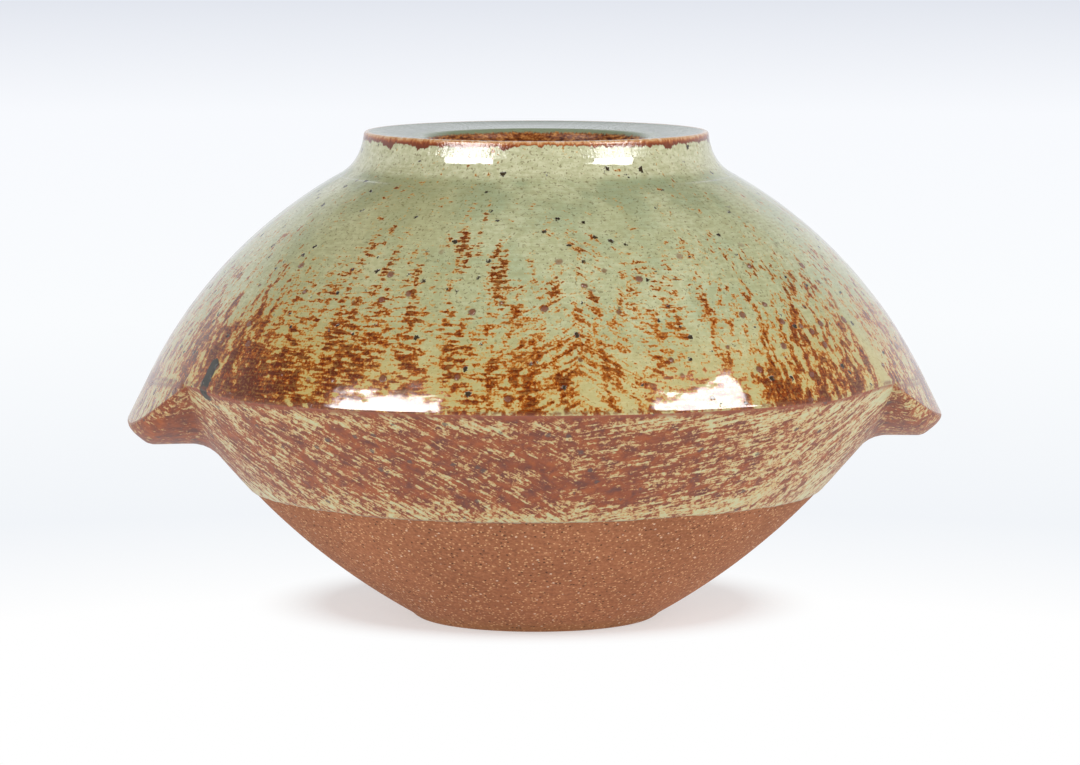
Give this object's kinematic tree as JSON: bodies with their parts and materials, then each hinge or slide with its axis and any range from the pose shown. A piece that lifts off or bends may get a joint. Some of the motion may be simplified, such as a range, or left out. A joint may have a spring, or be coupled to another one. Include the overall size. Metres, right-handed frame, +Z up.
{
  "type": "stoneware jar",
  "caption": "Squat round stoneware jar with a sharp shoulder, a short neck with a flat dished mouth, a part-glazed bowl on a small turned foot and a drawn-out lug on each side.",
  "frame": {"origin": "centre of the foot, on the surface that the jar stands on", "axes": "+Z up through the mouth, +X through the right-hand lug, the pictured side faces -Y"},
  "size_m": [0.2893, 0.275, 0.173],
  "materials": {
    "bare_clay": "matte",
    "shoulder_glaze": "gloss",
    "mouth_glaze": "gloss",
    "band_glaze": "satin",
    "lug_glaze": "satin"
  },
  "bodies": {
    "root": {"lower_bowl": "bare_clay", "shoulder_dome": "shoulder_glaze", "neck_collar": "shoulder_glaze", "mouth_ring": "mouth_glaze", "glaze_band": "band_glaze", "lug_left": "lug_glaze", "lug_right": "lug_glaze"}
  },
  "joints": []
}
